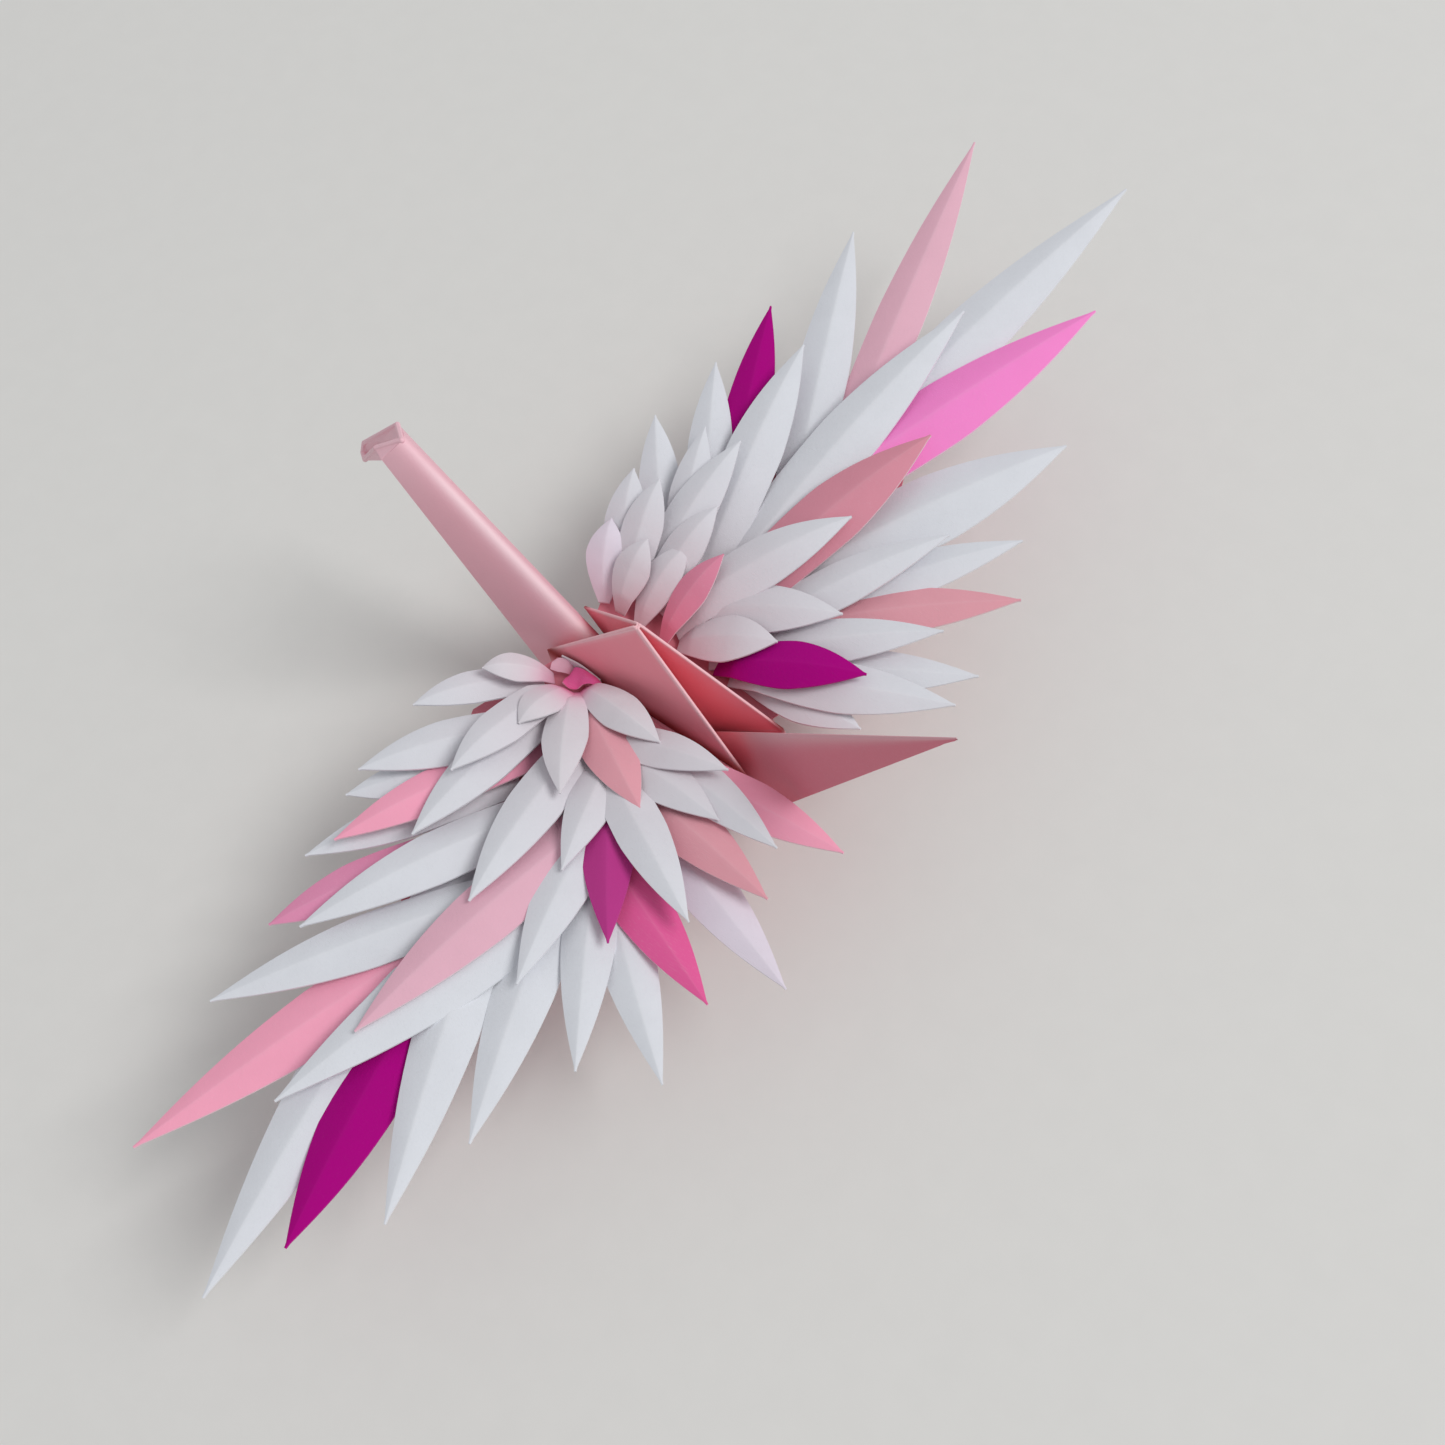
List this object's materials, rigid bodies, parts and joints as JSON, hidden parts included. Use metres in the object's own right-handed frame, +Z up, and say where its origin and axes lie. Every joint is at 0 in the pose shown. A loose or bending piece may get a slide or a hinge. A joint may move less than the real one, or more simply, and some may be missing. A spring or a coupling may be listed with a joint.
{
  "type": "paper crane",
  "caption": "Folded paper crane with long neck and tail, standing on its belly corners, its hinged wings covered in fans of creased paper feathers in white, pinks and magenta.",
  "frame": {"origin": "On the surface that the crane stands on, under the middle of its length and of its wing span", "axes": "+X towards the beak, +Y towards the left wing tip, +Z up"},
  "size_m": [0.0996, 0.1987, 0.0597],
  "materials": {
    "crane_paper": "matte pink paper, crisply creased, lighter along the folds",
    "white_paper": "matte white paper, one lengthwise crease",
    "lilac_paper": "matte pale lilac paper, one lengthwise crease",
    "blush_paper": "matte light pink paper, one lengthwise crease",
    "rose_paper": "matte pink paper, one lengthwise crease",
    "salmon_paper": "matte salmon paper, one lengthwise crease",
    "hot_pink_paper": "matte hot pink paper, one lengthwise crease",
    "plum_paper": "matte deep magenta paper, one lengthwise crease"
  },
  "bodies": {
    "crane": {"crane_body": "crane_paper"},
    "left_wing": {"left_wing": "crane_paper", "left_petals": "hot_pink_paper", "left_long_feather_01": "rose_paper", "left_long_feather_02": "lilac_paper", "left_long_feather_03": "hot_pink_paper", "left_long_feather_04": "white_paper", "left_long_feather_05": "white_paper", "left_long_feather_06": "white_paper", "left_long_feather_07": "white_paper", "left_long_feather_08": "plum_paper", "left_long_feather_09": "white_paper", "left_long_feather_10": "rose_paper", "left_long_feather_11": "white_paper", "left_long_feather_12": "hot_pink_paper", "left_long_feather_13": "white_paper", "left_long_feather_14": "white_paper", "left_middle_feather_01": "white_paper", "left_middle_feather_02": "salmon_paper", "left_middle_feather_03": "white_paper", "left_middle_feather_04": "plum_paper", "left_middle_feather_05": "white_paper", "left_middle_feather_06": "blush_paper", "left_middle_feather_07": "white_paper", "left_middle_feather_08": "white_paper", "left_middle_feather_09": "rose_paper", "left_middle_feather_10": "white_paper", "left_top_feather_02": "salmon_paper", "left_inner_feathers": "white_paper", "left_top_feathers": "white_paper"},
    "right_wing": {"right_wing": "crane_paper", "right_long_feather_01": "white_paper", "right_long_feather_02": "white_paper", "right_long_feather_03": "white_paper", "right_long_feather_04": "salmon_paper", "right_long_feather_05": "white_paper", "right_long_feather_06": "white_paper", "right_long_feather_07": "hot_pink_paper", "right_long_feather_08": "white_paper", "right_long_feather_09": "blush_paper", "right_long_feather_10": "white_paper", "right_long_feather_11": "plum_paper", "right_long_feather_12": "white_paper", "right_long_feather_13": "white_paper", "right_middle_feather_01": "plum_paper", "right_middle_feather_02": "white_paper", "right_middle_feather_03": "white_paper", "right_middle_feather_04": "blush_paper", "right_middle_feather_05": "white_paper", "right_middle_feather_06": "white_paper", "right_middle_feather_07": "white_paper", "right_top_feather_02": "rose_paper", "right_top_feather_05": "lilac_paper", "right_inner_feathers": "white_paper", "right_top_feathers": "white_paper"}
  },
  "joints": [
    {"name": "left_wing_crease", "type": "hinge", "parent": "crane", "child": "left_wing", "pos_m": [0.00174, 0.00456, 0.01833], "axis": [1, 0, 0], "range_deg": [-12, 10], "stiffness_Nm_per_rad": 0.05, "springref_deg": 1.26},
    {"name": "right_wing_crease", "type": "hinge", "parent": "crane", "child": "right_wing", "pos_m": [0.00174, -0.00456, 0.01833], "axis": [-1, 0, 0], "range_deg": [-12, 10], "stiffness_Nm_per_rad": 0.05, "springref_deg": 1.26}
  ]
}
